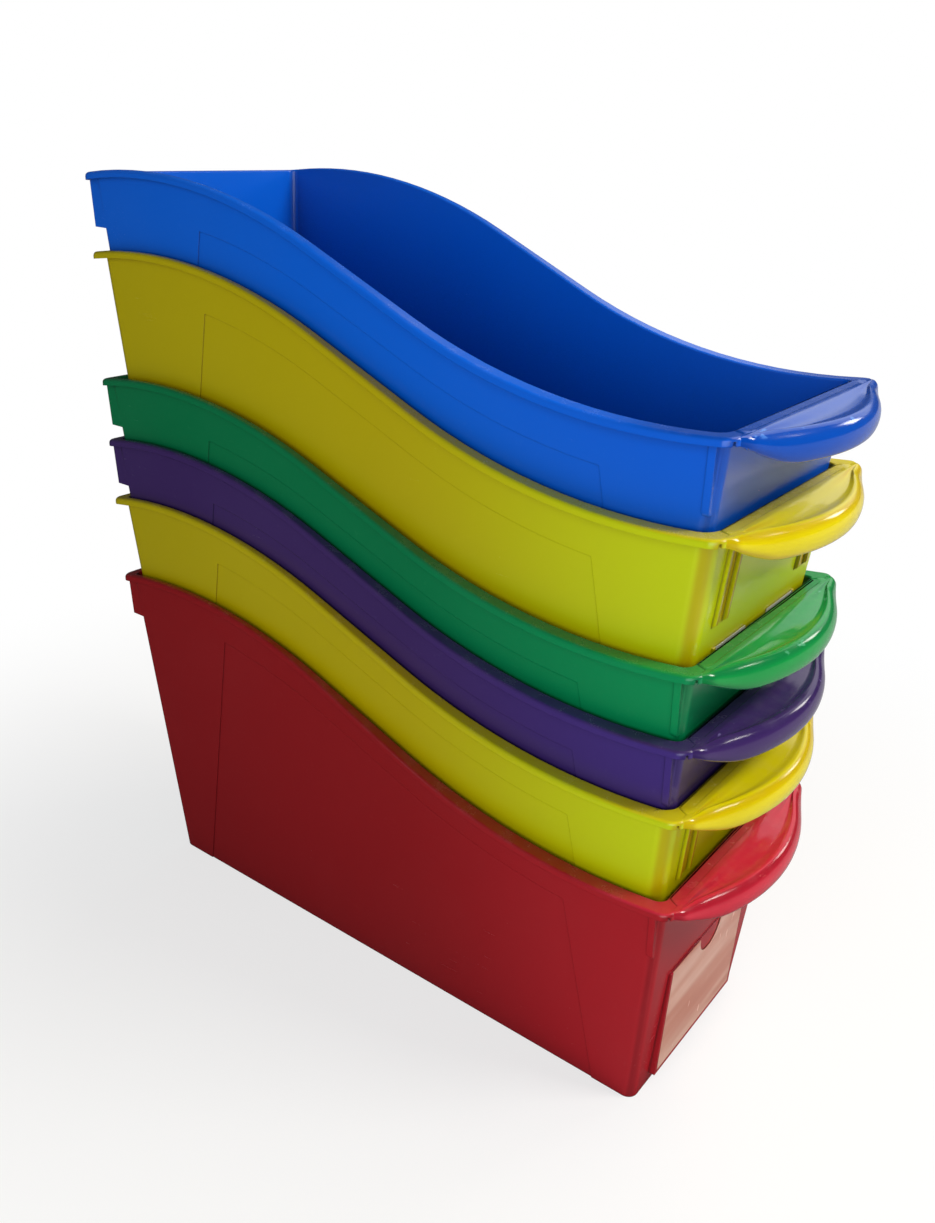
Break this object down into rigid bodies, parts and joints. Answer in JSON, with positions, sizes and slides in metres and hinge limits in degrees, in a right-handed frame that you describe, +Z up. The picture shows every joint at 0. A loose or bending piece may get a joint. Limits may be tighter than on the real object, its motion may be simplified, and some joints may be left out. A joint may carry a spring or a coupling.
{
  "type": "nested stack of book bins",
  "caption": "Open-topped plastic bins with a waved rim, a rounded front pull handle and a label pocket, nested in a stack; each bin lifts off the one below.",
  "frame": {"origin": "on the floor under the middle of the stack's bounding box", "axes": "+X towards the pull handles, +Z up, +Y to the left when looking along +X"},
  "size_m": [0.3598, 0.134, 0.3777],
  "materials": {
    "red_plastic": "glossy injection-moulded polypropylene, moulded in colour",
    "yellow_plastic": "glossy injection-moulded polypropylene, moulded in colour",
    "purple_plastic": "glossy injection-moulded polypropylene, moulded in colour",
    "green_plastic": "glossy injection-moulded polypropylene, moulded in colour",
    "blue_plastic": "glossy injection-moulded polypropylene, moulded in colour",
    "clear_window": "thin clear flexible sheet"
  },
  "bodies": {
    "red": {"red_bin": "red_plastic", "red_label_window": "clear_window"},
    "lower_yellow": {"lower_yellow_bin": "yellow_plastic", "lower_yellow_label_window": "clear_window"},
    "purple": {"purple_bin": "purple_plastic", "purple_label_window": "clear_window"},
    "green": {"green_bin": "green_plastic", "green_label_window": "clear_window"},
    "upper_yellow": {"upper_yellow_bin": "yellow_plastic", "upper_yellow_label_window": "clear_window"},
    "blue": {"blue_bin": "blue_plastic", "blue_label_window": "clear_window"}
  },
  "joints": [
    {"name": "lower_yellow_lift", "type": "slide", "parent": "red", "child": "lower_yellow", "axis": [0, 0, 1], "range_m": [0, 0.157]},
    {"name": "purple_lift", "type": "slide", "parent": "lower_yellow", "child": "purple", "axis": [0, 0, 1], "range_m": [0, 0.169]},
    {"name": "green_lift", "type": "slide", "parent": "purple", "child": "green", "axis": [0, 0, 1], "range_m": [0, 0.169]},
    {"name": "upper_yellow_lift", "type": "slide", "parent": "green", "child": "upper_yellow", "axis": [0, 0, 1], "range_m": [0, 0.144]},
    {"name": "blue_lift", "type": "slide", "parent": "upper_yellow", "child": "blue", "axis": [0, 0, 1], "range_m": [0, 0.165]}
  ]
}
